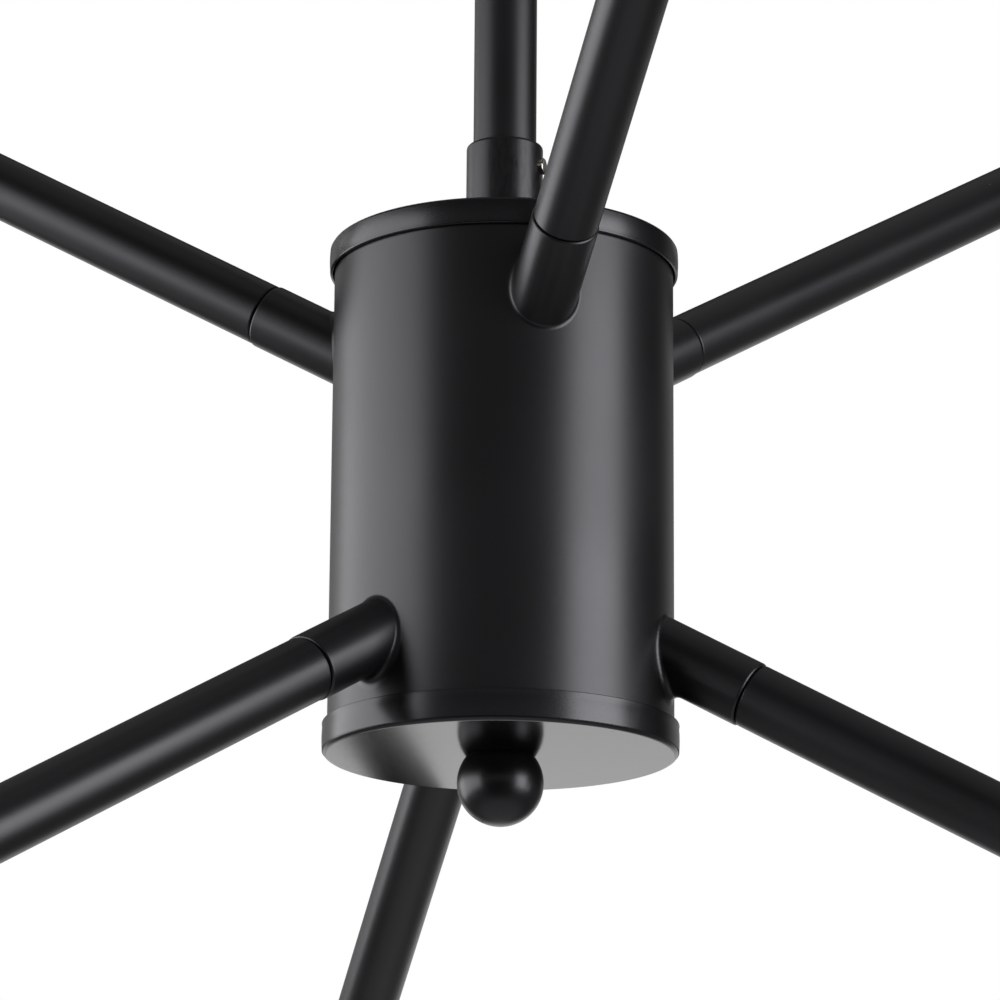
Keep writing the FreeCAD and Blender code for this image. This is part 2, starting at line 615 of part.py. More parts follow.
save("outlet_box_bar", outlet_box_bar())
save("canopy_bar", canopy_bar())
save("crossbar_rivet", crossbar_rivet())
save("ground_screw", ground_screw())
save("canopy_studs", canopy_studs())
save("canopy", canopy())
save("canopy_nuts", canopy_nuts())
save("canopy_doubler", canopy_doubler())
save("swivel_cup", swivel_cup())
save("swivel_ring", swivel_ring())
save("swivel_washer", swivel_washer())
save("swivel_nut", swivel_nut())
save("swivel_ball", swivel_ball())
save("upper_rod", plugged_tube(rod_seam, rod_top))
save("rod_nipple", rod_nipple())
save("lower_rod", plugged_tube(rod_bottom, rod_seam))
save("hub_collar", hub_collar())
save("collar_set_screw", collar_set_screw())
save("centre_pipe", centre_pipe())
save("pipe_washer", pipe_washer())
save("pipe_nut", pipe_nut())
save("top_cap", top_cap())
save("hub_body", hub_body())
save("bottom_cap", bottom_cap())
save("finial", finial())

arm = plugged_tube(STUB_REACH, arm_end)
arm_nipple = arm_joint(STUB_REACH - PIPE_GRIP, STUB_REACH + PIPE_GRIP)
cup_nipple = arm_joint(arm_end - PIPE_GRIP, cup_floor + CUP_PIPE_THREAD)
pieces = (("arm", arm), ("socket_cup", socket_cup()), ("lampholder", lampholder()),
          ("screw_shell", screw_shell()), ("centre_contact", centre_contact()))
places = list(arm_places())
for label, place in places:
    for kind, shape in pieces:
        save("%s_%s" % (kind, label), along(shape, place))
save("arm_nipples", group([along(arm_nipple, place) for label, place in places]))
save("cup_nipples", group([along(cup_nipple, place) for label, place in places]))
print("hub centre at Z = %.2f, ball centre at Z = %.2f" % (hub_z, ball_z))
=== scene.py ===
# %% [markdown]
# # A sputnik chandelier, dressed for its picture
#
# The CAD model of the lamp is loaded first and stays as the frame: it says where each
# piece is and how it moves. Every piece that the eye meets is then modelled again with
# clean, smooth meshes, placed where the CAD has it, and given a finish made from nodes.

# %% Load the frame
import math

import bmesh
import bpy
from mathutils import Matrix, Vector


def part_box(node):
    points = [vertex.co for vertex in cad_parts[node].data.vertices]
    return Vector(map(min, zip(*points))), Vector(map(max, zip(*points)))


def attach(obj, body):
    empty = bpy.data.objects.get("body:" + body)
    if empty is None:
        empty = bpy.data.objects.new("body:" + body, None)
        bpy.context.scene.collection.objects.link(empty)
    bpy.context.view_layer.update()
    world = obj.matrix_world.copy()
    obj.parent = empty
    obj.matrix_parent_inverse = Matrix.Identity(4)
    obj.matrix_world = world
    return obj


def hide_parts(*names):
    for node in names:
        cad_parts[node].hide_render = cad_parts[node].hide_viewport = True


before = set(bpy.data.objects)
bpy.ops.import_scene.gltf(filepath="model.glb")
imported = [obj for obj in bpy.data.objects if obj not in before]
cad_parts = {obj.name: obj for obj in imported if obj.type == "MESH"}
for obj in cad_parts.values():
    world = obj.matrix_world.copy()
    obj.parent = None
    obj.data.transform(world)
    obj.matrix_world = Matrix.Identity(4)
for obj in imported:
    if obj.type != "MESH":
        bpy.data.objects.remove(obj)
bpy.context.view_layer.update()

# %% [markdown]
# Blender works in metres and lamp makers in millimetres. The sizes below are the same as
# the CAD's, in millimetres, and are multiplied by MM wherever a mesh is made. Heights come
# from the CAD nodes themselves, so nothing here can drift away from the frame.

# %% Sizes and levels
MM = 0.001


def span(node):
    """Lowest and highest level of a CAD node, in millimetres."""
    low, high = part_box(node)
    return low.z / MM, high.z / MM


hub_low, hub_high = span("hub_body")
hub_middle = (hub_low + hub_high) / 2
hub_radius = 40.0
tube_radius = 7.5
pipe_radius = 5.0
pipe_hole = 5.05
print("hub from %.1f to %.1f mm" % (hub_low, hub_high))

# %% [markdown]
# An operator acts on whatever is selected, and loading the frame leaves its nodes
# selected. So each step starts by leaving one object alone, and in edit mode the parts of
# the mesh are picked in code, by their place.

# %% Selecting in code
def named(name):
    """Names the active object and its mesh."""
    piece = bpy.context.object
    piece.name = piece.data.name = name
    return piece


def alone(piece):
    """Leaves one object selected and active."""
    bpy.ops.object.select_all(action="DESELECT")
    piece.select_set(True)
    bpy.context.view_layer.objects.active = piece
    return piece


def pick(kind, test):
    """In edit mode, selects only the VERT, EDGE or FACE items that pass a test."""
    bpy.ops.mesh.select_mode(type=kind)
    bpy.ops.mesh.select_all(action="DESELECT")
    mesh = bmesh.from_edit_mesh(bpy.context.object.data)
    items = {"VERT": mesh.verts, "EDGE": mesh.edges, "FACE": mesh.faces}[kind]
    found = [item for item in items if test(item)]
    for item in found:
        item.select_set(True)
    mesh.select_flush_mode()
    bmesh.update_edit_mesh(bpy.context.object.data)
    return len(found)


# %% [markdown]
# Nearly every piece of this lamp is turned on a lathe or spun from sheet. The same thing
# is done here: a circle is added at the first point of the half section, and its ring of
# edges is extruded and resized from point to point. Where the section comes back to its
# first point, the two rings are merged, so the piece is closed.

# %% Turn a piece ring by ring
NEAR = 0.02 * MM


def turned(name, section, segments=128, ends=False):
    """A piece turned about Z from (radius, height) points; ends fills its two last rings."""
    radius, height = section[0]
    bpy.ops.object.select_all(action="DESELECT")
    bpy.ops.mesh.primitive_circle_add(vertices=segments, radius=radius * MM,
                                      fill_type="NGON" if ends else "NOTHING",
                                      location=(0, 0, height * MM))
    piece = named(name)
    bpy.ops.object.transform_apply(location=True)
    bpy.ops.object.mode_set(mode="EDIT")
    pick("EDGE", lambda edge: True)
    for new_radius, new_height in section[1:]:
        rise = (0, 0, (new_height - height) * MM)
        bpy.ops.mesh.extrude_edges_move(TRANSFORM_OT_translate={"value": rise})
        grow = new_radius / radius
        bpy.ops.transform.resize(value=(grow, grow, 1),
                                 center_override=(0, 0, new_height * MM))
        radius, height = new_radius, new_height
    if ends:
        bpy.ops.mesh.edge_face_add()
    bpy.ops.mesh.select_all(action="SELECT")
    bpy.ops.mesh.remove_doubles(threshold=0.001 * MM)
    bpy.ops.object.mode_set(mode="OBJECT")
    return piece


# %% [markdown]
# No real edge is sharp: a turned rim is broken with a file and a pressed one bends round
# the tool. These small rounds catch the light and make the thin bright lines in the
# picture, so each rim is picked by its radius and height and bevelled.

# %% Round a rim
def round_rims(piece, rims, steps=4):
    """Bevels rims given as (radius, height, size), in millimetres."""
    alone(piece)
    bpy.ops.object.mode_set(mode="EDIT")
    for radius, height, size in rims:
        def on_rim(edge):
            flat = [math.hypot(v.co.x, v.co.y) - radius * MM for v in edge.verts]
            lift = [v.co.z - height * MM for v in edge.verts]
            return all(abs(gap) < NEAR for gap in flat + lift)
        pick("EDGE", on_rim)
        bpy.ops.mesh.bevel(offset=size * MM, segments=steps, affect="EDGES")
    bpy.ops.object.mode_set(mode="OBJECT")
    return piece


# %% [markdown]
# A finished piece has its object at the origin and its place in its mesh, as the CAD nodes
# do. Its faces point outwards, its round parts are shaded smooth, and a Weighted Normal
# modifier keeps the large faces truly flat or truly round beside the small bevels.

# %% Settle and smooth a piece
def apply_all(piece):
    """Applies the modifiers of a piece, first to last."""
    alone(piece)
    for modifier in list(piece.modifiers):
        bpy.ops.object.modifier_apply(modifier=modifier.name)


def settle(piece, place=Matrix()):
    """Puts the place of a piece into its mesh."""
    alone(piece)
    piece.matrix_world = place @ piece.matrix_world
    bpy.ops.object.transform_apply(location=True, rotation=True, scale=True)
    return piece


def smooth(piece, angle=32, outwards=True):
    """Turns the faces outwards and shades all but the sharp edges smooth."""
    alone(piece)
    if outwards:
        bpy.ops.object.mode_set(mode="EDIT")
        bpy.ops.mesh.select_all(action="SELECT")
        bpy.ops.mesh.normals_make_consistent(inside=False)
        bpy.ops.object.mode_set(mode="OBJECT")
    bpy.ops.object.shade_smooth_by_angle(angle=math.radians(angle))
    weighted = piece.modifiers.new("flat faces stay flat", "WEIGHTED_NORMAL")
    weighted.keep_sharp = True
    apply_all(piece)
    return piece


def copied(piece, name, place):
    """A copy with its own mesh, settled at another place."""
    other = piece.copy()
    other.data = piece.data.copy()
    other.name = other.data.name = name
    bpy.context.scene.collection.objects.link(other)
    return settle(other, place)


# %% [markdown]
# The six arms are one shape laid out six times. Three climb at 29 degrees and three dip by
# as much, half a step further round. Each arm has its own frame, with Z along the arm, and
# this function gives the matrix that takes a piece from there to the lamp.

# %% Where each arm lies
incline = math.radians(29)
phase = math.radians(13.5)
crossing = 17.0  # height of the point where a tier's axes cross, from the hub's middle
tiers = (("upper", 1, -90), ("lower", -1, -150))  # name, side, azimuth of the first arm
arm_step = 120


def arm_place(side, azimuth):
    """The frame of an arm that climbs (side 1) or dips (side -1) at an azimuth."""
    foot = Matrix.Translation((0, 0, (hub_middle + side * crossing) * MM))
    turn = Matrix.Rotation(azimuth, 4, "Z")
    lean = Matrix.Rotation(math.pi / 2 - side * incline, 4, "Y")
    return foot @ turn @ lean


arms = []
for tier, side, first in tiers:
    for number in (1, 2, 3):
        azimuth = math.radians(first + arm_step * (number - 1)) + phase
        arms.append(("%s_%d" % (tier, number), side, azimuth))
print("arms", [name for name, side, azimuth in arms])

# %% [markdown]
# ## The hub
#
# The middle of the lamp is a piece of 80 mm steel tube. A cylinder without ends is the
# right start, and Solidify gives it the real 1.5 mm wall, inwards, so that the outside
# stays on the true radius.

# %% Hub tube
hub_wall = 1.5
bpy.ops.object.select_all(action="DESELECT")
bpy.ops.mesh.primitive_cylinder_add(vertices=256, radius=hub_radius * MM,
                                    depth=(hub_high - hub_low) * MM,
                                    end_fill_type="NOTHING",
                                    location=(0, 0, hub_middle * MM))
hub_tube = named("hub_tube")
settle(hub_tube)
wall = hub_tube.modifiers.new("wall", "SOLIDIFY")
wall.thickness = hub_wall * MM
wall.offset = -1
apply_all(hub_tube)
smooth(hub_tube)
print("hub tube faces", len(hub_tube.data.polygons))

# %% [markdown]
# Six short stubs are welded to the tube. At its foot each one runs out in a small hollow
# fillet, where the weld was ground and painted over. The stub is turned straight, with
# spare rings at its foot. A Shrinkwrap modifier drops each ring onto the tube along the
# stub's own axis, and a Displace modifier lifts it again along the same axis by its height
# in the weld, so a quarter of a circle in these heights gives the hollow of the weld. A
# sharp corner takes more weld than a wide one, so the rings are widened and lifted most
# where stub and tube meet at 61 degrees, and least on the far side, at 119 degrees. The
# last ring goes a little under the paint, so that the two surfaces part without a line.

# %% One stub with its weld
stub_radius = 7.75
stub_end = 67.6
stub_plug = 4.0  # depth to which the threaded plug is modelled
weld_radius = 1.4
weld_steps = 9
weld_start = 54.0
ring_margin = 0.001  # keeps the first ring of the foot apart from the stub's side
ring_rise = 0.05  # height between two rings, before they are dropped onto the tube
tuck_out, tuck_under = 0.35, 0.03  # where the last ring goes under the paint
weld_profile = []  # (distance outside the stub, height above the tube)
for step in range(weld_steps + 1):
    bend = math.pi / 2 * step / weld_steps
    weld_profile.append((weld_radius * (1 - math.cos(bend)), weld_radius * (1 - math.sin(bend))))
weld_profile.append((weld_radius + tuck_out, -tuck_under))

section = [(pipe_hole, stub_end - stub_plug), (pipe_hole, stub_end),
           (stub_radius, stub_end), (stub_radius, weld_start)]
for number, (outside, height) in enumerate(weld_profile):
    section.append((stub_radius + outside + ring_margin, weld_start - ring_rise * (number + 2)))
stub = turned("stub", section, segments=96)
round_rims(stub, [(stub_radius, stub_end, 0.6)], steps=6)

# %% Drop its foot onto the tube
weld_least, weld_most = 0.5, 2.3  # share of the weld's size, on the wide and the sharp side
on_ring = 0.0004 * MM  # how near a vertex of a ring is to the ring's radius
no_lift = 1e-7  # a Displace modifier without strength can't be applied
foot_rings = []
for outside, height in weld_profile:
    ring = stub.vertex_groups.new(name="ring %.3f" % outside)
    raised = stub.vertex_groups.new(name="raised %.3f" % outside)
    radius = (stub_radius + outside + ring_margin) * MM
    below = (weld_start - ring_rise) * MM
    foot = [v for v in stub.data.vertices
            if abs(math.hypot(v.co.x, v.co.y) - radius) < on_ring and v.co.z < below]
    for vertex in foot:
        sharp = (0.5 - 0.5 * vertex.co.x / radius) ** 3
        share = weld_least + (weld_most - weld_least) * sharp
        ring.add([vertex.index], 1.0, "REPLACE")
        raised.add([vertex.index], share / weld_most, "REPLACE")
        grow = (stub_radius + outside * share + ring_margin) * MM / radius
        vertex.co.x, vertex.co.y = vertex.co.x * grow, vertex.co.y * grow
    foot_rings.append((ring.name, raised.name, height))
stub.matrix_world = arm_place(1, 0)
for name, raised, height in foot_rings:
    drop = stub.modifiers.new(name, "SHRINKWRAP")
    drop.wrap_method = "PROJECT"
    drop.wrap_mode = "ABOVE_SURFACE"
    drop.use_project_z = True
    drop.use_negative_direction = True
    drop.use_positive_direction = False
    drop.target = hub_tube
    drop.vertex_group = name
    if abs(height) * MM > no_lift:
        lift = stub.modifiers.new("lift " + name, "DISPLACE")
        lift.direction = "Z"
        lift.mid_level = 0
        lift.strength = height * weld_most * MM
        lift.vertex_group = raised
apply_all(stub)
settle(stub)
stub.vertex_groups.clear()
print("stub vertices", len(stub.data.vertices))

# %% [markdown]
# The lower stubs are the upper one seen in a mirror that lies across the middle of the
# hub. A mirror turns a mesh inside out, so the normals are worked out again on each copy.
# All six are then joined with the tube, because they are one welded piece.

# %% Six stubs on one hub
stubs = []
for name, side, azimuth in arms:
    to_middle = Matrix.Translation((0, 0, hub_middle * MM))
    mirror = Matrix.Diagonal((1, 1, side, 1))
    place = to_middle @ Matrix.Rotation(azimuth, 4, "Z") @ mirror @ to_middle.inverted()
    stubs.append(copied(stub, "stub_" + name, place))
    smooth(stubs[-1])
bpy.data.objects.remove(stub)
alone(hub_tube)
for piece in stubs:
    piece.select_set(True)
bpy.ops.object.join()
hub = named("hub")
print("hub faces", len(hub.data.polygons))

# %% [markdown]
# Two pressed lids close the tube. Each is a shallow dish of 1 mm sheet with a short skirt
# that hangs round the tube with a little air, which is the dark line under its edge. The
# press leaves the skirt slightly bowed, and that bend in its reflection gives it away as
# sheet metal. The section goes round the sheet once, and the rims are then rounded.

# %% The two lids
lid_radius = 41.2
lid_sheet = 1.0
lid_hole = 5.3
lid_bow = 0.2
lid_lip, lid_cut = 0.7, 0.9  # the skirt's edge: its flat part, and how far the cut goes in
skirt_steps = 8


def lid(name, face, down, skirt, face_round, edge_round):
    """A lid whose flat face is at a level; down is the way its skirt points."""
    inner = lid_radius - lid_sheet
    edge = face + down * skirt
    section = [(lid_hole, face), (lid_radius, face)]
    for step in range(1, skirt_steps):
        share = step / skirt_steps
        section.append((lid_radius - lid_bow * (2 * share - 1) ** 2, face + down * skirt * share))
    section += [(lid_radius, edge), (lid_radius - lid_lip, edge),
                (inner, edge - down * lid_cut), (inner, face + down * lid_sheet),
                (lid_hole, face + down * lid_sheet), (lid_hole, face)]
    piece = turned(name, section, segments=256)
    round_rims(piece, [(lid_radius, face, face_round)], steps=7)
    round_rims(piece, [(lid_radius, edge, edge_round)], steps=4)
    return smooth(piece)


top_lid = lid("top_lid", span("top_cap")[1], -1, skirt=6.4, face_round=1.2, edge_round=0.6)
bottom_lid = lid("bottom_lid", span("bottom_cap")[0], 1, skirt=7.2, face_round=1.5,
                 edge_round=0.2)
print("lids between %.1f and %.1f mm" % (span("bottom_cap")[0], span("top_cap")[1]))

# %% [markdown]
# The ball under the hub is a nut. A sphere is cut flat by Bisect where it bears on the
# lid, the flat is filled, and its middle is inset and pushed in to make the threaded hole.

# %% Ball nut
ball_radius = 10.0
ball_middle = span("finial")[0] + ball_radius
ball_flat = span("finial")[1]
ball_thread = 9.5  # depth of the threaded hole


def flattened_ball(name, radius, middle, flat, hole, depth):
    """A ball cut flat on top, with a blind hole in the flat."""
    bpy.ops.object.select_all(action="DESELECT")
    bpy.ops.mesh.primitive_uv_sphere_add(segments=96, ring_count=64, radius=radius * MM,
                                         location=(0, 0, middle * MM))
    piece = named(name)
    bpy.ops.object.transform_apply(location=True)
    bpy.ops.object.mode_set(mode="EDIT")
    bpy.ops.mesh.select_all(action="SELECT")
    bpy.ops.mesh.bisect(plane_co=(0, 0, flat * MM), plane_no=(0, 0, 1), use_fill=True,
                        clear_outer=True)
    pick("FACE", lambda face: face.normal.z > 0.99
         and abs(face.calc_center_median().z - flat * MM) < NEAR)
    rim = math.sqrt(radius ** 2 - (flat - middle) ** 2)
    bpy.ops.mesh.inset(thickness=(rim - hole) * MM)
    bpy.ops.mesh.extrude_region_move(TRANSFORM_OT_translate={"value": (0, 0, -depth * MM)})
    bpy.ops.object.mode_set(mode="OBJECT")
    return piece


ball_nut = flattened_ball("ball_nut", ball_radius, ball_middle, ball_flat, pipe_hole,
                          ball_thread)
smooth(ball_nut)
print("ball nut from", round(ball_flat, 1), "down to", round(span("finial")[0], 1))

# %% [markdown]
# The collar on top is turned from bar: a cup that the rod stands in, with a web below it
# that screws onto the centre pipe. Its upper rim has a generous round.

# %% Collar
collar_radius = 9.1
collar_low, collar_high = span("hub_collar")
collar_web = 8.0
collar_bore = tube_radius + 0.05
collar = turned("collar", [
    (pipe_hole, collar_low), (collar_radius, collar_low), (collar_radius, collar_high),
    (collar_bore, collar_high), (collar_bore, collar_low + collar_web),
    (pipe_hole, collar_low + collar_web), (pipe_hole, collar_low)])
round_rims(collar, [(collar_radius, collar_high, 0.8), (collar_radius, collar_low, 0.25),
                    (collar_bore, collar_high, 0.2)])
smooth(collar)

# %% [markdown]
# A small slotted screw locks the rod in the collar. It is turned upright, its slot is cut
# by a Boolean with a thin box, and it is then laid on its side at its place in the collar.

# %% Set screw
screw_low, screw_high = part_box("collar_set_screw")
screw_level = (screw_low.z + screw_high.z) / 2 / MM
screw_azimuth = math.radians(-19)
screw_radius = 2.0
screw_tip, screw_end = 7.65, 10.1
slot_size = (6.0, 0.6, 1.6)  # half of its last size is above the screw
set_screw = turned("set_screw", [(screw_radius, screw_tip), (screw_radius, screw_end)],
                   segments=48, ends=True)
round_rims(set_screw, [(screw_radius, screw_end, 0.35)])
bpy.ops.object.select_all(action="DESELECT")
bpy.ops.mesh.primitive_cube_add(size=1, location=(0, 0, screw_end * MM))
slot = bpy.context.object
slot.scale = Vector(slot_size) * MM
bpy.ops.object.transform_apply(location=True, scale=True)
cut = set_screw.modifiers.new("slot", "BOOLEAN")
cut.operation = "DIFFERENCE"
cut.object = slot
apply_all(set_screw)
bpy.data.objects.remove(slot)
lay = Matrix.Translation((0, 0, screw_level * MM)) @ Matrix.Rotation(screw_azimuth, 4, "Z")
settle(set_screw, lay @ Matrix.Rotation(math.pi / 2, 4, "Y"))
smooth(set_screw)
print("set screw faces", len(set_screw.data.polygons))

# %% [markdown]
# ## Rods and arms
#
# Rods and arms are cut from the same 15 mm tube, with a threaded plug in each end. Both
# ends are broken, and that little round beside the stub's own is the fine seam that shows
# where an arm screws on.

# %% A length of tube
def plugged_tube(name, low, high):
    """Tube with broken ends, closed down to the hole of its threaded plugs."""
    piece = turned(name, [(pipe_hole, low), (tube_radius, low), (tube_radius, high),
                          (pipe_hole, high), (pipe_hole, low)], segments=96)
    round_rims(piece, [(tube_radius, low, 0.5), (tube_radius, high, 0.5)], steps=5)
    return piece


lower_rod = smooth(plugged_tube("lower_rod_tube", *span("lower_rod")))
upper_rod = smooth(plugged_tube("upper_rod_tube", *span("upper_rod")))

# %% Six arms
arm_length = 300.0
arm_end = stub_end + arm_length
seam_gap = 0.26
straight_arm = plugged_tube("straight_arm", stub_end + seam_gap, arm_end)
arm_tubes = {}
for name, side, azimuth in arms:
    arm_tubes[name] = smooth(copied(straight_arm, "arm_tube_" + name, arm_place(side, azimuth)))
bpy.data.objects.remove(straight_arm)
print("arm tubes", len(arm_tubes))

# %% [markdown]
# ## Lampholders
#
# Each arm ends in a plain metal cup, drawn from 1 mm sheet with a soft corner. Inside it
# sits a moulded insulator with a deep round well for the lamp and a pocket for the contact.

# %% Cup and insulator
cup_radius, cup_depth, cup_sheet = 19.0, 50.0, 1.0
cup_inner = cup_radius - cup_sheet
cup_floor = arm_end + cup_sheet
cup_mouth = arm_end + cup_depth
cup = turned("cup", [
    (pipe_hole, arm_end), (cup_radius, arm_end), (cup_radius, cup_mouth),
    (cup_inner, cup_mouth), (cup_inner, cup_floor), (pipe_hole, cup_floor),
    (pipe_hole, arm_end)])
round_rims(cup, [(cup_radius, arm_end, 5.0), (cup_inner, cup_floor, 4.0)], steps=8)
round_rims(cup, [(cup_radius, cup_mouth, 0.35), (cup_inner, cup_mouth, 0.35)], steps=3)

holder_radius, holder_sink = 17.7, 2.0  # sink: its rim lies below the cup's mouth
well_radius, well_depth = 13.9, 30.0
pocket_radius, pocket_depth = 8.7, 5.0
pocket_sheet = 3.0  # moulding between the pocket and the hole of the pipe
holder_rim = cup_mouth - holder_sink
shell_floor = holder_rim - well_depth
pocket_floor = shell_floor - pocket_depth
insulator = turned("insulator", [
    (pipe_hole, pocket_floor - pocket_sheet), (pipe_hole, cup_floor), (holder_radius, cup_floor),
    (holder_radius, holder_rim), (well_radius, holder_rim), (well_radius, shell_floor),
    (pocket_radius, shell_floor), (pocket_radius, pocket_floor)], segments=96, ends=True)
round_rims(insulator, [(holder_radius, cup_floor, 4.0)], steps=3)
round_rims(insulator, [(holder_radius, holder_rim, 0.8), (well_radius, holder_rim, 0.5)],
           steps=3)
print("well is", round(holder_rim - shell_floor, 1), "mm deep")

# %% [markdown]
# The metal shell in the well has the coarse rolled thread of a lamp base. One wave of its
# side, a single pitch long, is drawn as a chain of edges, and the Screw modifier winds it
# upwards by one pitch a turn. Bisect trims both ends flat, and Solidify gives the sheet
# its thickness.

# %% Screw shell
shell_crest, shell_root = 13.25, 12.65
shell_pitch = 3.63
shell_low, shell_high = shell_floor + 0.5, shell_floor + 26.0
wave_steps = 8


def wound(name, profile, pitch, low, high, closed):
    """Winds one pitch of a (radius, rise) profile up a thread, and trims it level."""
    start = low - 1.5 * pitch
    points = [Vector((radius, 0, start + rise)) * MM for radius, rise in profile]
    bpy.ops.object.select_all(action="DESELECT")
    bpy.ops.mesh.primitive_circle_add(vertices=3, radius=1 * MM, location=(0, 0, 0))
    piece = named(name)
    bpy.ops.object.mode_set(mode="EDIT")
    bpy.ops.mesh.select_all(action="SELECT")
    bpy.ops.mesh.merge(type="CENTER")
    bpy.ops.mesh.select_mode(type="VERT")
    bpy.ops.mesh.select_all(action="SELECT")
    bpy.ops.transform.translate(value=points[0])
    for here, there in zip(points, points[1:]):
        bpy.ops.mesh.extrude_vertices_move(TRANSFORM_OT_translate={"value": there - here})
    bpy.ops.object.mode_set(mode="OBJECT")
    winding = piece.modifiers.new("winding", "SCREW")
    winding.axis = "Z"
    winding.steps = winding.render_steps = 48
    winding.iterations = int((high - low) / pitch) + 3
    winding.screw_offset = pitch * MM
    winding.use_merge_vertices = True
    winding.merge_threshold = 0.001 * MM
    apply_all(piece)
    bpy.ops.object.mode_set(mode="EDIT")
    for level, upwards in ((low, -1), (high, 1)):
        bpy.ops.mesh.select_all(action="SELECT")
        bpy.ops.mesh.bisect(plane_co=(0, 0, level * MM), plane_no=(0, 0, upwards),
                            use_fill=closed, clear_outer=True)
    bpy.ops.mesh.select_all(action="SELECT")
    bpy.ops.mesh.normals_make_consistent(inside=False)
    bpy.ops.object.mode_set(mode="OBJECT")
    return piece


wave = []
for step in range(wave_steps + 1):
    swing = math.cos(2 * math.pi * step / wave_steps)
    radius = (shell_crest + shell_root) / 2 + (shell_crest - shell_root) / 2 * swing
    wave.append((radius, shell_pitch * step / wave_steps))
shell_wall = wound("shell_wall", wave, shell_pitch, shell_low, shell_high, closed=False)
print("shell wall faces", len(shell_wall.data.polygons))

# %% [markdown]
# The floor of the shell is a flat ring, drawn with the wall from one sheet. It is turned
# as a ring of its own, given the same thickness, and joined with the wall.

# %% Shell floor
shell_sheet = 0.4
shell_hole, shell_rim = 8.75, 13.2
shell_ring = turned("shell_ring", [(shell_hole, shell_low), (shell_rim, shell_low)], segments=48)
for piece in (shell_wall, shell_ring):
    sheet = piece.modifiers.new("sheet", "SOLIDIFY")
    sheet.thickness = shell_sheet * MM
    sheet.offset = 0
    apply_all(piece)
alone(shell_wall)
shell_ring.select_set(True)
bpy.ops.object.join()
screw_shell = shell_wall

# %% [markdown]
# Under the lamp's tip lies a sprung leaf. It starts as a small plane at its root, and its
# far edge is extruded up the slope, step by step, and drawn in at the last step for the
# rounded tip. The near edge is curled under in the same way.

# %% Contact leaf
leaf_root = Vector((-6.6, 0, pocket_floor + 0.7))
leaf_width, leaf_sheet, leaf_edge = 5.0, 0.35, 0.08
bpy.ops.object.select_all(action="DESELECT")
bpy.ops.mesh.primitive_plane_add(size=1, location=(0, 0, 0))
leaf = named("leaf")
leaf.scale = (1.0 * MM, leaf_width * MM, 1)
leaf.location = (leaf_root + Vector((0.5, 0, 0.15))) * MM
bpy.ops.object.transform_apply(location=True, scale=True)
bpy.ops.object.mode_set(mode="EDIT")
far_edge = max(v.co.x for v in leaf.data.vertices)
near_edge = min(v.co.x for v in leaf.data.vertices)


def extrude_leaf(steps):
    """Extrudes the picked edge by (x, z, width) steps, in millimetres and share of width."""
    for along, up, share in steps:
        bpy.ops.mesh.extrude_edges_move(
            TRANSFORM_OT_translate={"value": (along * MM, 0, up * MM)})
        bpy.ops.transform.resize(value=(1, share, 1), center_override=(0, 0, 0))


pick("EDGE", lambda edge: all(abs(v.co.x - far_edge) < NEAR for v in edge.verts))
extrude_leaf([(1.6, 0.55, 1), (1.6, 0.65, 1), (1.5, 0.7, 1), (1.3, 0.65, 1),
              (0.9, 0.42, 0.92), (0.6, 0.2, 0.82), (0.3, 0.02, 0.7)])
pick("EDGE", lambda edge: all(abs(v.co.x - near_edge) < NEAR for v in edge.verts))
extrude_leaf([(-0.25, -0.1, 1), (-0.12, -0.25, 1), (0.1, -0.25, 1), (0.3, -0.1, 1)])
bpy.ops.object.mode_set(mode="OBJECT")
sheet = leaf.modifiers.new("sheet", "SOLIDIFY")
sheet.thickness = leaf_sheet * MM
sheet.offset = 0
soft_edge = leaf.modifiers.new("soft edge", "BEVEL")
soft_edge.width = leaf_edge * MM
soft_edge.segments = 2
apply_all(leaf)
print("leaf faces", len(leaf.data.polygons))

# %% Lay the lampholders out
lamp_pieces = {}
for label, side, azimuth in arms:
    place = arm_place(side, azimuth)
    for kind, piece in (("cup", cup), ("insulator", insulator), ("shell", screw_shell),
                        ("leaf", leaf)):
        other = copied(piece, "%s_%s" % (kind, label), place)
        lamp_pieces[kind, label] = smooth(other, outwards=kind in ("cup", "insulator"))
for piece in (cup, insulator, screw_shell, leaf):
    bpy.data.objects.remove(piece)
print("lampholder pieces", len(lamp_pieces))

# %% [markdown]
# ## Ceiling end
#
# A ball swivel lets the rod hang plumb from a sloping ceiling. The ball has a threaded neck
# below it, with a real thread that shows between the ball and the rod. The sphere is cut
# where the neck leaves it and filled.

# %% Swivel ball and neck
swivel_radius = 12.0
swivel_middle = -40.4
neck_cut = 4.6  # radius of the cut where the neck leaves the ball
rod_top = span("upper_rod")[1]
bpy.ops.object.select_all(action="DESELECT")
bpy.ops.mesh.primitive_uv_sphere_add(segments=96, ring_count=64,
                                     radius=swivel_radius * MM,
                                     location=(0, 0, swivel_middle * MM))
swivel_ball = named("swivel_ball_bare")
settle(swivel_ball)
bpy.ops.object.mode_set(mode="EDIT")
bpy.ops.mesh.select_all(action="SELECT")
neck_start = swivel_middle - math.sqrt(swivel_radius ** 2 - neck_cut ** 2)
bpy.ops.mesh.bisect(plane_co=(0, 0, neck_start * MM), plane_no=(0, 0, -1), use_fill=True,
                    clear_outer=True)
bpy.ops.object.mode_set(mode="OBJECT")
smooth(swivel_ball)

# %% [markdown]
# The thread of the neck is wound like the one of the lamp shell: one tooth, one millimetre
# high, turned upwards by the Screw modifier and trimmed by two bisecting planes. The cut
# ends are filled, so the neck is a closed bar.

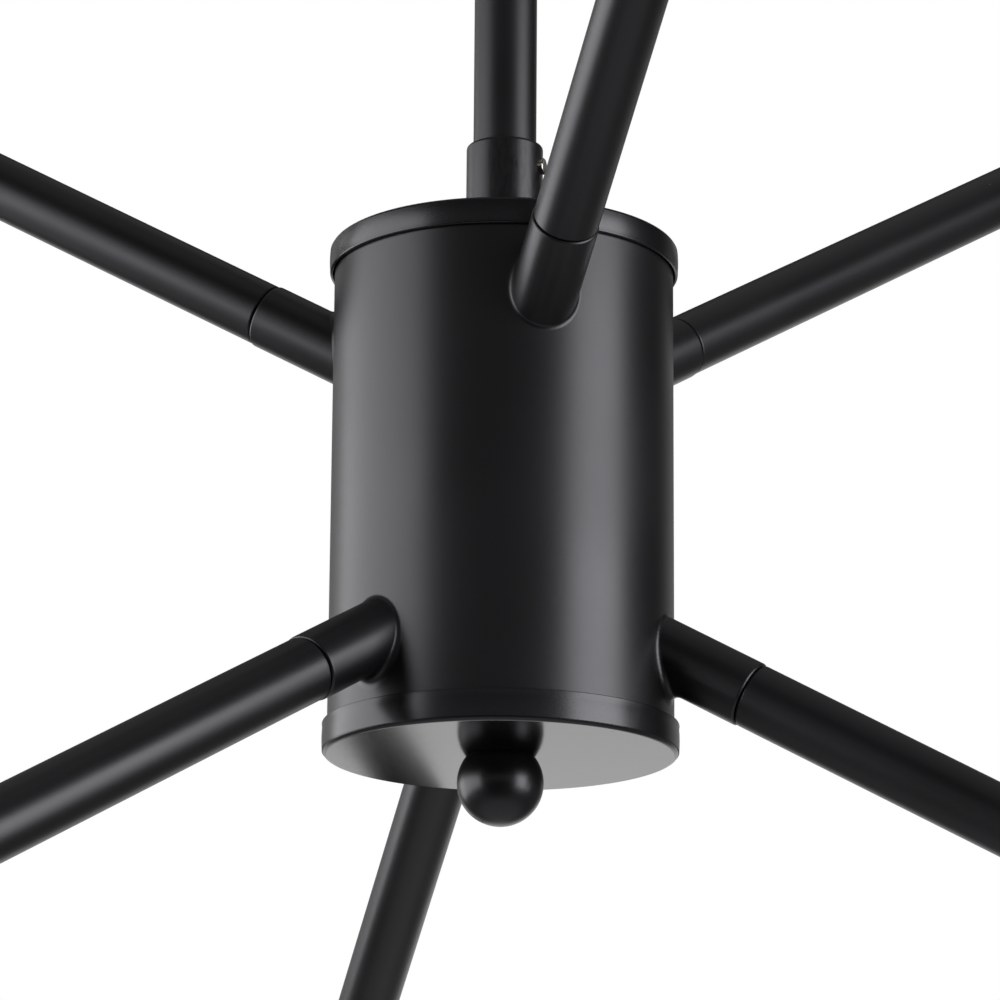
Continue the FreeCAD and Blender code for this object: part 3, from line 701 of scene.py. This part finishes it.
# %% Threaded neck
neck_pitch = 1.0
neck_in_rod, neck_in_ball = 12.0, 1.0  # how far it runs into both
thread_root = pipe_radius - 0.6 * neck_pitch
tooth = [(thread_root, 0), (pipe_radius, 0.42), (pipe_radius, 0.58), (thread_root, 1)]
tooth = [(radius, share * neck_pitch) for radius, share in tooth]
swivel_neck = wound("swivel_neck", tooth, neck_pitch, rod_top - neck_in_rod,
                    neck_start + neck_in_ball, closed=True)
smooth(swivel_neck)
alone(swivel_ball)
swivel_neck.select_set(True)
bpy.ops.object.join()
print("neck shows between", round(neck_start, 1), "and", rod_top)

# %% [markdown]
# The ball sits in a round housing with a hollow neck, and a ring screwed into its mouth
# holds it up. The inside follows the ball, so the section takes its points from the ball's
# own radius.

# %% Swivel housing and ring
socket_radius = 12.1
housing_radius = 16.0
housing_top = -25.3
housing_low = swivel_middle - 2.0
wire_bore = 3.4
ring_outer, ring_inner = 14.0, 12.1  # the threaded part of the ring, inside the housing
ring_grip = 3.4  # how far it goes up into the housing
play = 0.1  # between that part and the housing's counterbore
neck_top = span("swivel_cup")[1]


def socket_point(height):
    """A point of the round socket at a height above the ball's middle."""
    return math.sqrt(socket_radius ** 2 - height ** 2), swivel_middle + height


housing = turned("housing", [
    (wire_bore, neck_top), (pipe_radius, neck_top), (pipe_radius, housing_top),
    (housing_radius, housing_top), (housing_radius, housing_low),
    (ring_outer + play / 2, housing_low),
    (ring_outer + play / 2, housing_low + ring_grip + play),
    (ring_inner, housing_low + ring_grip + play),
    socket_point(3.5), socket_point(6.5), socket_point(9.0), socket_point(11.0),
    (wire_bore, swivel_middle + 11.6), (wire_bore, neck_top)])
round_rims(housing, [(housing_radius, housing_top, 3.0)], steps=8)
round_rims(housing, [(housing_radius, housing_low, 0.3), (pipe_radius, neck_top, 0.3)], steps=3)
smooth(housing)

ring_low = span("swivel_ring")[0]
neck_swing = math.radians(30 + 2.4)  # the tilt at its limit, and some room
mouth = neck_swing + math.asin(pipe_radius / socket_radius)
lip_height = socket_radius * math.cos(mouth)
mouth_radius = (swivel_middle - ring_low) * math.tan(mouth)
ring = turned("retaining_ring", [
    (ring_inner, housing_low + ring_grip), (ring_outer, housing_low + ring_grip),
    (ring_outer, housing_low), (housing_radius, housing_low), (housing_radius, ring_low),
    (mouth_radius, ring_low), socket_point(-lip_height), socket_point(-6.0),
    socket_point(-4.0), socket_point(-2.0), socket_point(0.0),
    (ring_inner, housing_low + ring_grip)])
round_rims(ring, [(housing_radius, ring_low, 0.8), (housing_radius, housing_low, 0.3)], steps=4)
smooth(ring)
print("mouth radius %.2f mm" % mouth_radius)

# %% [markdown]
# The canopy is a dish spun from 1 mm sheet. Its face meets its wall in a soft corner, and
# its open side lies against the ceiling. Two ball nuts on hidden studs hold it up.

# %% Canopy
canopy_radius = 60.0
canopy_sheet = 1.0
canopy_hole = 5.3
canopy_low, canopy_high = span("canopy")
canopy_inner = canopy_radius - canopy_sheet
canopy_floor = canopy_low + canopy_sheet
canopy = turned("canopy_dish", [
    (canopy_hole, canopy_low), (canopy_radius, canopy_low), (canopy_radius, canopy_high),
    (canopy_inner, canopy_high), (canopy_inner, canopy_floor), (canopy_hole, canopy_floor),
    (canopy_hole, canopy_low)], segments=192)
round_rims(canopy, [(canopy_radius, canopy_low, 4.0), (canopy_inner, canopy_floor, 3.0)],
           steps=8)
round_rims(canopy, [(canopy_radius, canopy_high, 0.3), (canopy_inner, canopy_high, 0.3)],
           steps=2)
smooth(canopy)

nut_radius, nut_middle = 5.0, canopy_low - 3.0
nut_hole, nut_depth = 2.05, 6.6
stud_reach = 40.0  # from the middle of the canopy
nuts = []
for side in (-1, 1):
    nut = flattened_ball("canopy_nut", nut_radius, nut_middle, canopy_low, nut_hole, nut_depth)
    nuts.append(settle(nut, Matrix.Translation((0, side * stud_reach * MM, 0))))
alone(nuts[0])
nuts[1].select_set(True)
bpy.ops.object.join()
canopy_nuts = named("canopy_ball_nuts")
smooth(canopy_nuts)
print("canopy hangs", round(-canopy_low, 1), "mm below the ceiling")

# %% [markdown]
# ## Finishes
#
# A finish is a small network of nodes. To keep it readable, one class wraps a socket so
# that sums on it can be written as plain Python, and one method adds any other node. Only
# the sums that the finishes below use are defined.

# %% Shader sums as Python
class Wire:
    """A socket of a shader tree that takes part in sums."""

    def __init__(self, tree, socket=None):
        self.tree = tree
        self.socket = socket

    def node(self, kind, settings=None, inputs=None, out=0):
        """Adds a node: its settings first, then the values or links of its sockets."""
        made = self.tree.nodes.new("ShaderNode" + kind)
        for name, value in (settings or {}).items():
            setattr(made, name, value)
        for name, value in (inputs or {}).items():
            if isinstance(value, Wire):
                self.tree.links.new(value.socket, made.inputs[name])
            else:
                made.inputs[name].default_value = value
        return Wire(self.tree, made.outputs[out])

    def sum(self, operation, *terms):
        return self.node("Math", {"operation": operation}, dict(enumerate(terms)))

    def __add__(self, other):
        return self.sum("ADD", self, other)

    def __radd__(self, other):
        return self.sum("ADD", other, self)

    def __sub__(self, other):
        return self.sum("SUBTRACT", self, other)

    def __rsub__(self, other):
        return self.sum("SUBTRACT", other, self)

    def __mul__(self, other):
        return self.sum("MULTIPLY", self, other)

    def __lt__(self, other):
        return self.sum("LESS_THAN", self, other)


# %% [markdown]
# Every finish starts from the Principled shader. The ones below share three patterns: a
# soft cloud, a ramp between two levels of it, and the rare speck of dust that settles in
# wet paint. All of them read Object coordinates, so they stay still on the piece.

# %% Patterns
def start_finish(name):
    """A new material, its free wire, its Object coordinates and its shader."""
    material = bpy.data.materials.new(name)
    material.use_nodes = True
    wire = Wire(material.node_tree)
    place = wire.node("TexCoord", out="Object")
    return material, wire, place, material.node_tree.nodes["Principled BSDF"]


def cloud(place, size, detail=2.0, rough=0.5):
    """Smooth noise between about 0 and 1, with features of a size in millimetres."""
    return place.node("TexNoise", {}, {"Vector": place, "Scale": 1 / (size * MM),
                                       "Detail": detail, "Roughness": rough})


def between(value, low, high):
    """0 below low, 1 above high, and a smooth ramp between them."""
    return value.node("MapRange", {"interpolation_type": "SMOOTHSTEP"},
                      {"Value": value, "From Min": low, "From Max": high})


def dust(place, spacing, radius, share):
    """Small specks: 1 at the middle of a speck, 0 away from it; share of the cells have one."""
    settings = {"feature": "F1"}
    inputs = {"Vector": place, "Scale": 1 / (spacing * MM), "Randomness": 1.0}
    gap = place.node("TexVoronoi", settings, inputs, out="Distance")
    mark = place.node("TexVoronoi", settings, inputs, out="Color")
    chance = mark.node("SeparateColor", {}, {"Color": mark}, out=0)
    spot = 1 - between(gap, 0.4 * radius / spacing, radius / spacing)
    return spot * (chance < share)


def blend_colours(factor, first, second):
    """Mixes two colours."""
    return factor.node("Mix", {"data_type": "RGBA"},
                       {0: factor, 6: (*first, 1), 7: (*second, 1)}, out=2)


def relief(height):
    """Bumps a finish by a height in millimetres."""
    return height.node("Bump", {}, {"Height": height, "Distance": 1.0 * MM, "Strength": 1.0},
                       out="Normal")


def axes(vector):
    """The three parts of a vector."""
    parts = vector.node("SeparateXYZ", {}, {"Vector": vector}).socket.node.outputs
    return [Wire(vector.tree, parts[axis]) for axis in "XYZ"]


def feed(shader, **values):
    """Sets or links sockets of the shader, named with underscores for spaces."""
    for name, value in values.items():
        socket = shader.inputs[name.replace("_", " ")]
        if isinstance(value, Wire):
            value.tree.links.new(value.socket, socket)
        else:
            socket.default_value = value


# %% [markdown]
# Satin black powder coat covers the lamp. Powder melts into a skin that is never quite
# flat: under a lens it ripples like orange peel, about a millimetre from crest to crest
# and only microns deep. That ripple and a slow change in gloss are what tell it from
# plastic. A few specks of dust lie under the skin.

# %% Powder coat
coat_black = (0.0024, 0.0023, 0.0027)
coat_tint = (0.95, 0.935, 1.0, 1)
dust_grey = (0.16, 0.16, 0.17, 1)


def coat_tone(share):
    """The black of the coat, times a share."""
    return tuple(channel * share for channel in coat_black)


def powder_coat(name, gloss, ripple=1.0, specks=0.35):
    """Satin powder coat with a roughness and the strength of its ripple."""
    material, wire, place, shader = start_finish(name)
    peel = cloud(place, 1.3, detail=3.0, rough=0.55)
    drift = cloud(place, 38.0, detail=1.0)
    speck = dust(place, 14.0, 0.24, specks)
    height = peel * (0.004 * ripple) + cloud(place, 9.0) * (0.012 * ripple) + speck * 0.03
    worn = blend_colours(between(drift, 0.35, 0.7), coat_black, coat_tone(1.5))
    dusty = wire.node("Mix", {"data_type": "RGBA"},
                      {0: speck * 0.7, 6: worn, 7: dust_grey}, out=2)
    roughness = gloss + (drift - 0.5) * 0.10 + (peel - 0.5) * 0.05
    feed(shader, Base_Color=dusty, Roughness=roughness, Normal=relief(height), IOR=1.58,
         Specular_Tint=coat_tint)
    return material


body_coat = powder_coat("satin black powder coat", 0.36)
lid_coat = powder_coat("satin black on pressed sheet", 0.28, ripple=0.45)
rod_coat = powder_coat("satin black on the rods", 0.40)
ball_coat = powder_coat("satin black on the ball", 0.30, specks=0.8)

# %% [markdown]
# The underside of the bottom lid is smoother than its skirt, because the sheet is flat
# there. It mirrors the ball and the white room in a soft way, broken up by a fine grain and
# by a slow swell that ripples the edge of the reflection. Some dust lies in it too.

# %% Flat underside of the bottom lid
def flat_lid_coat():
    material, wire, place, shader = start_finish("satin black on the flat lid")
    grain = cloud(place, 0.9, detail=3.0, rough=0.7)
    swell = cloud(place, 5.0, detail=2.0)
    speck = dust(place, 6.0, 0.30, 0.5)
    height = grain * 0.0035 + swell * 0.009 - speck * 0.02
    roughness = 0.15 + (grain - 0.5) * 0.12 + speck * 0.3
    colour = blend_colours(between(swell, 0.4, 0.7), coat_black, coat_tone(1.5))
    feed(shader, Base_Color=colour, Roughness=roughness, Normal=relief(height), IOR=1.58,
         Specular_Tint=(1.0, 0.985, 0.955, 1))
    return material


underside_coat = flat_lid_coat()

# %% [markdown]
# The collar was turned before it was blackened. The tool marks run round it, so their noise
# is read in cylindrical coordinates: the angle, slowly, and the height, quickly. The
# blackening adds an upright mottle, a cloud stretched with a Mapping node.

# %% Turned and blackened collar
def turned_black():
    material, wire, place, shader = start_finish("turned and blackened")
    x, y, z = axes(place)
    angle = wire.sum("ARCTAN2", y, x)
    marks = wire.node("CombineXYZ", {}, {"X": angle * 0.004, "Y": z * 3.0, "Z": 0.0})
    lathe = cloud(marks, 1.1, detail=2.0, rough=0.5)
    upright = wire.node("Mapping", {}, {"Vector": place, "Scale": (1, 1, 0.25)})
    mottle = cloud(upright, 0.8, detail=3.0, rough=0.6)
    height = lathe * 0.0006 + mottle * 0.007
    colour = blend_colours(between(mottle, 0.4, 0.7), coat_black, coat_tone(2))
    roughness = 0.34 + (mottle - 0.5) * 0.30
    feed(shader, Base_Color=colour, Roughness=roughness, Normal=relief(height), IOR=1.58,
         Specular_Tint=coat_tint)
    return material


collar_finish = turned_black()

# %% [markdown]
# The small fittings are bare metal: bright nickel on the set screw, zinc on the hidden
# bars, nuts and pipes, and brass in the lampholders. Plating shows a faint spangle in its
# roughness and a slightly darker tone where hands and tools have been.

# %% Plated metals
def plated(name, bright, dull, gloss, grain, scratch=0.0):
    """Bare or plated metal that changes between two tones."""
    material, wire, place, shader = start_finish(name)
    spangle = cloud(place, grain, detail=4.0, rough=0.6)
    long_way = wire.node("Mapping", {}, {"Vector": place, "Scale": (1, 14, 14)})
    lines = cloud(long_way, 6.0, detail=4.0, rough=0.7)
    colour = blend_colours(between(spangle, 0.38, 0.66), dull, bright)
    roughness = gloss + (spangle - 0.5) * 0.18 + (lines - 0.5) * scratch
    feed(shader, Base_Color=colour, Roughness=roughness, Metallic=1.0,
         Normal=relief(lines * 0.004 + spangle * 0.004))
    return material


nickel = plated("bright nickel", (0.74, 0.70, 0.63), (0.62, 0.58, 0.52), 0.16, 1.2)
zinc = plated("zinc plate", (0.66, 0.67, 0.68), (0.50, 0.51, 0.53), 0.34, 3.0, scratch=0.15)
brass = plated("rolled brass", (0.80, 0.58, 0.27), (0.62, 0.43, 0.18), 0.24, 4.0, scratch=0.10)

# %% [markdown]
# The earth screw is dyed green so that it can't be mistaken, and the lampholder's insulator
# is a black moulding: deep, a little glossy, with the faint flow marks of pressed resin.

# %% Green screw and moulding
def green_dye():
    material, wire, place, shader = start_finish("green passivated")
    worn = between(cloud(place, 1.4, detail=4.0, rough=0.65), 0.52, 0.72)
    colour = blend_colours(worn, (0.03, 0.22, 0.07), (0.16, 0.34, 0.16))
    feed(shader, Base_Color=colour, Roughness=0.3 + worn * 0.15, Metallic=0.85,
         Normal=relief(cloud(place, 0.8) * 0.006))
    return material


def pressed_resin():
    material, wire, place, shader = start_finish("black moulded resin")
    flow = wire.node("TexNoise", {}, {"Vector": place, "Scale": 1 / (14 * MM), "Detail": 3.0,
                                      "Distortion": 1.5})
    grain = cloud(place, 0.5, detail=2.0)
    colour = blend_colours(between(flow, 0.4, 0.65), (0.014, 0.013, 0.013), (0.026, 0.024, 0.023))
    feed(shader, Base_Color=colour, Roughness=0.30 + flow * 0.16, IOR=1.6,
         Normal=relief(grain * 0.006 + flow * 0.01))
    return material


green = green_dye()
resin = pressed_resin()
print("finishes", len([m for m in bpy.data.materials if m.use_nodes]))

# %% [markdown]
# ## Putting it together
#
# Each new piece rides on the body that moves it, stands for its CAD node, and takes its
# finish. The nodes that are seldom seen keep their CAD shape and only get a finish.

# %% Dress the pieces
def dress(piece, body, slot_name, finish, *nodes):
    """Gives a piece its finish, its body and the CAD nodes that it stands for."""
    piece.data.materials.clear()
    piece.data.materials.append(finish)
    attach(piece, body)
    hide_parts(*nodes)


dress(hub, "pendant", "black_coat", body_coat, "hub_body")
dress(top_lid, "pendant", "black_coat", lid_coat, "top_cap")
dress(bottom_lid, "bottom_cover", "black_coat", lid_coat, "bottom_cap")
dress(ball_nut, "finial_nut", "black_coat", ball_coat, "finial")
dress(collar, "pendant", "black_coat", collar_finish, "hub_collar")
dress(set_screw, "set_screw", "nickel", nickel, "collar_set_screw")
dress(lower_rod, "pendant", "black_coat", rod_coat, "lower_rod")
dress(upper_rod, "pendant", "black_coat", rod_coat, "upper_rod")
dress(swivel_ball, "pendant", "black_coat", ball_coat, "swivel_ball")
dress(housing, "swivel_housing", "black_coat", body_coat, "swivel_cup")
dress(ring, "swivel_housing", "black_coat", body_coat, "swivel_ring")
dress(canopy, "ceiling_mount", "black_coat", body_coat, "canopy")
dress(canopy_nuts, "ceiling_mount", "black_coat", ball_coat, "canopy_nuts")
for label in arm_tubes:
    dress(arm_tubes[label], "pendant", "black_coat", body_coat, "arm_" + label)
    dress(lamp_pieces["cup", label], "pendant", "black_coat", body_coat, "socket_cup_" + label)
    dress(lamp_pieces["insulator", label], "pendant", "black_moulding", resin,
          "lampholder_" + label)
    dress(lamp_pieces["shell", label], "pendant", "shell_brass", brass, "screw_shell_" + label)
    dress(lamp_pieces["leaf", label], "contact_" + label, "shell_brass", brass,
          "centre_contact_" + label)

# %% The flat face of the bottom lid
bottom_lid.data.materials.append(underside_coat)
lid_face = span("bottom_cap")[0] * MM
for face in bottom_lid.data.polygons:
    if abs(face.center.z - lid_face) < NEAR:
        face.material_index = 1

# %% Finishes of the CAD nodes that stay
kept = {"outlet_box_bar": zinc, "canopy_bar": zinc, "crossbar_rivet": zinc,
        "ground_screw": green, "canopy_studs": zinc, "canopy_doubler": zinc,
        "swivel_washer": zinc, "swivel_nut": zinc, "rod_nipple": zinc, "centre_pipe": zinc,
        "pipe_washer": zinc, "pipe_nut": zinc, "arm_nipples": zinc, "cup_nipples": zinc}
for node, metal in kept.items():
    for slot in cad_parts[node].material_slots:
        slot.link = "OBJECT"
        slot.material = metal
print("kept nodes", len(kept))

# %% [markdown]
# ## The room
#
# The lamp hangs above a pale floor that runs out of sight. To the camera the floor is the
# white of the backdrop, with a share of its own shading left, so that it keeps the shadow.
# A reflection sees painted light on the floor: it glows white behind the lamp, where the
# backdrop is lit, grey below it and dark towards the camera, as in a studio where only the
# set is lit.

# %% Floor
floor_level = -1.55
bpy.ops.object.select_all(action="DESELECT")
bpy.ops.mesh.primitive_plane_add(size=60, location=(0, 0, floor_level))
floor = named("floor")

pale, wire, place, shader = start_finish("pale floor")
feed(shader, Base_Color=(0.84, 0.84, 0.84, 1), Roughness=0.9)
camera_ray = wire.node("LightPath", out="Is Camera Ray")
mirror_ray = wire.sum("MAXIMUM", wire.node("LightPath", out="Is Glossy Ray"),
                      wire.node("LightPath", out="Is Transmission Ray"))
# Masks of the painted light that a reflection sees on the floor: lit at the back, grey near the
# lamp and dark towards the camera.
across, back, up = axes(place)
aside = across.sum("ABSOLUTE", across)
painted_lit_back = between(back - aside * 1.5, 0.3, 1.4)
reach = across.sum("SQRT", across * across + back * back)
near_set = 1 - between(reach, 0.35, 1.0)
to_camera = between(back * -1 - aside * 0.8, 0.0, 0.6)


def glow(strength):
    """White light of a strength."""
    return wire.node("Emission", {}, {"Color": (1, 1, 1, 1), "Strength": strength})


# Painted light: in a reflection these glows stand in for how the studio floor is lit.
white = glow(1.0)
grey = glow(0.40)
dark = glow(0.12 - to_camera * 0.105)
below = wire.node("MixShader", {}, {0: near_set, 1: dark, 2: grey})
mirrored = wire.node("MixShader", {}, {0: painted_lit_back, 1: below, 2: white})
own = Wire(pale.node_tree, shader.outputs[0])
either = wire.node("MixShader", {}, {0: mirror_ray, 1: own, 2: mirrored})
white_share = 0.75  # of what the camera sees; the rest is the floor's own shading
mixed = wire.node("MixShader", {}, {0: camera_ray * white_share, 1: either, 2: white})
output = pale.node_tree.nodes["Material Output"]
pale.node_tree.links.new(mixed.socket, output.inputs["Surface"])
floor.data.materials.append(pale)

# %% [markdown]
# The world is white to the camera. To a reflection it is a photographer's studio: almost
# black on the camera's side, white straight behind the lamp, and dim walls on both sides of
# that. The light that it sheds on the lamp is a plain, even grey.

# %% World
world = bpy.data.worlds.new("studio")
bpy.context.scene.world = world
world.use_nodes = True
tree = world.node_tree
tree.nodes.clear()
wire = Wire(tree)
way = wire.node("TexCoord", out="Generated")
right, behind, above = axes(way)
backdrop_light = between(behind, 0.93, 0.985) * 0.8
left_wall = between(behind, 0.35, 0.75) * between(right * -1, 0.1, 0.45) * 0.34
right_wall = between(behind, 0.60, 0.90) * between(right, 0.05, 0.35) * 0.38
horizon = (1 - between(above, 0.30, 0.55)) * 0.12 + (1 - between(above, 0.08, 0.22)) * 0.10
front_wall = between(behind * -1, -0.3, 0.4) * horizon
ceiling = between(above, 0.55, 0.95) * 0.20
studio = 0.02 + backdrop_light + left_wall + right_wall + front_wall + ceiling
camera_ray = wire.node("LightPath", out="Is Camera Ray")
glossy_ray = wire.node("LightPath", out="Is Glossy Ray")
clear_ray = wire.node("LightPath", out="Is Transmission Ray")
shown = camera_ray.sum("MAXIMUM", camera_ray, clear_ray)
others = 1 - shown.sum("MAXIMUM", shown, glossy_ray)
level = shown * 1.0 + glossy_ray * studio + others * 0.3
backdrop = wire.node("Background", {}, {"Color": (1, 1, 1, 1), "Strength": level})
end = tree.nodes.new("ShaderNodeOutputWorld")
tree.links.new(backdrop.socket, end.inputs["Surface"])

# %% [markdown]
# Two large soft boxes light the lamp: a wide one on the left, and a narrower and brighter
# one in front on the right. Each is mirrored in every round surface as a soft highlight.

# %% Soft boxes
hub_point = Vector((0, 0, hub_middle * MM))


def soft_box(name, azimuth, distance, lift, width, height, radiance):
    """A rectangular light at an azimuth round the hub, counted from the camera's side."""
    turn = math.radians(azimuth)
    lamp = bpy.data.lights.new(name, "AREA")
    lamp.shape = "RECTANGLE"
    lamp.size, lamp.size_y = width, height
    lamp.energy = radiance * math.pi * width * height
    box = bpy.data.objects.new(name, lamp)
    bpy.context.scene.collection.objects.link(box)
    away = Vector((math.sin(turn), -math.cos(turn), 0)) * distance
    box.location = hub_point + away + Vector((0, 0, lift))
    box.rotation_euler = (hub_point - box.location).to_track_quat("-Z", "Y").to_euler()
    box.visible_camera = False
    return box


soft_box("left soft box", azimuth=-92, distance=1.15, lift=0.06,
         width=1.95, height=0.96, radiance=2.7)
soft_box("right soft box", azimuth=64, distance=1.35, lift=0.05,
         width=0.95, height=1.06, radiance=4.8)

# %% [markdown]
# The camera stands a little below the hub and looks up at it through a long lens. Its
# place and lens come from fitting the known shapes of the lamp to their outlines.

# %% Camera
camera = bpy.data.cameras.new("camera")
camera.sensor_width = 36
camera.lens = 160.06
camera.clip_end = 100
eye = bpy.data.objects.new("camera", camera)
bpy.context.scene.collection.objects.link(eye)
eye.location = (0, -1.0026, -0.99275)
eye.rotation_euler = [math.radians(a) for a in (104.9364, -0.4104, -0.0788)]
bpy.context.scene.camera = eye
bpy.context.scene.view_settings.view_transform = "Standard"
